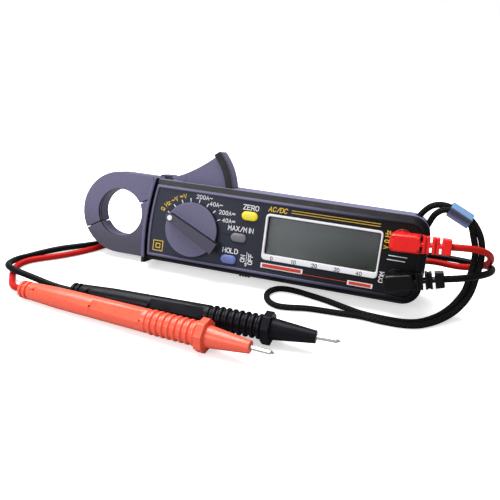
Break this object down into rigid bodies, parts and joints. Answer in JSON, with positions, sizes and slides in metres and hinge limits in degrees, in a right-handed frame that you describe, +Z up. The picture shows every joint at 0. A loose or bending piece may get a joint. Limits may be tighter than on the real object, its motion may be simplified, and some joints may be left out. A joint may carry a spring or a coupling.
{
  "type": "clamp meter",
  "caption": "Hand-held clamp meter on its side: opening jaws with thumb lever, range dial, keys, wide display, plugged test leads with probes, and a wrist strap.",
  "frame": {"origin": "on the floor under the middle of the meter's box, without its leads and strap", "axes": "+X along the meter from the jaws to the cable end, -Y towards the viewer of the panel, +Z up"},
  "size_m": [0.2405, 0.1804, 0.0631],
  "materials": {
    "casing": "fine textured matte",
    "panel_film": "satin printed film",
    "bezel_white": "satin",
    "window": "clear",
    "lcd": "grey-green",
    "natural_plastic": "satin",
    "board": "solder mask",
    "mat_rubber": "matte",
    "black_plastic": "satin",
    "cell": "plain wrapper",
    "steel": "bright",
    "brass": "bright",
    "ferrite": "laminated",
    "dial": "fine textured matte",
    "white_mark": "print",
    "key_yellow": "satin",
    "key_grey": "satin",
    "key_blue": "satin",
    "plug_red": "satin",
    "lead_red": "satin",
    "probe_red": "satin",
    "plug_black": "satin",
    "lead_black": "satin",
    "probe_black": "satin",
    "braid": "braided cord",
    "slider_blue": "satin"
  },
  "bodies": {
    "meter": {"front_cover": "casing", "rear_cover": "casing", "panel_overlay": "panel_film", "display_bezel": "bezel_white", "display_window": "window", "lcd_panel": "lcd", "lcd_holder": "natural_plastic", "circuit_board": "board", "button_mat": "mat_rubber", "buzzer": "black_plastic", "battery_a": "cell", "battery_b": "cell", "battery_contacts": "steel", "battery_door": "casing", "battery_screw": "steel", "case_screws": "steel", "strap_post": "steel", "fixed_jaw": "casing", "fixed_core": "ferrite", "hall_sensor": "black_plastic", "pivot_pin": "steel", "return_spring": "steel", "detent_ball": "steel", "detent_spring": "steel", "power_switch": "black_plastic", "red_socket": "plug_red", "black_socket": "plug_black", "socket_contacts": "brass", "red_plug": "plug_red", "red_pin": "steel", "red_lead_out": "lead_red", "red_coil": "lead_red", "red_tie": "black_plastic", "red_lead_in": "lead_red", "red_probe": "probe_red", "red_tip": "steel", "black_plug": "plug_black", "black_pin": "steel", "black_lead_out": "lead_black", "black_coil": "lead_black", "black_tie": "black_plastic", "black_lead_in": "lead_black", "black_probe": "probe_black", "black_tip": "steel", "strap": "braid", "strap_slider": "slider_blue"},
    "jaw": {"jaw_lever": "casing", "moving_core": "ferrite"},
    "dial": {"range_dial": "dial", "dial_pointer": "white_mark", "dial_hub": "dial", "wiper_disc": "brass"},
    "zero_key": {"zero_button": "key_yellow"},
    "minmax_key": {"minmax_button": "key_grey"},
    "hold_key": {"hold_button": "key_blue"},
    "power_knob": {"power_slider": "black_plastic"}
  },
  "joints": [
    {"name": "jaw_hinge", "type": "hinge", "parent": "meter", "child": "jaw", "pos_m": [-0.042, 0.00568, 0.03894], "axis": [0, 0.9659, -0.2588], "range_deg": [0, 25], "stiffness_Nm_per_rad": 0.8, "springref_deg": -17.19},
    {"name": "dial_turn", "type": "hinge", "parent": "meter", "child": "dial", "pos_m": [-0.025, -0.01194, 0.02534], "axis": [0, 0.9659, -0.2588], "range_deg": [0, 126]},
    {"name": "zero_press", "type": "slide", "parent": "meter", "child": "zero_key", "axis": [0, 0.9659, -0.2588], "range_m": [0, 0.0008], "stiffness_N_per_m": 1500},
    {"name": "minmax_press", "type": "slide", "parent": "meter", "child": "minmax_key", "axis": [0, 0.9659, -0.2588], "range_m": [0, 0.0008], "stiffness_N_per_m": 1500},
    {"name": "hold_press", "type": "slide", "parent": "meter", "child": "hold_key", "axis": [0, 0.9659, -0.2588], "range_m": [0, 0.0008], "stiffness_N_per_m": 1500},
    {"name": "power_slide", "type": "slide", "parent": "meter", "child": "power_knob", "axis": [1, 0, 0], "range_m": [0, 0.004]}
  ]
}
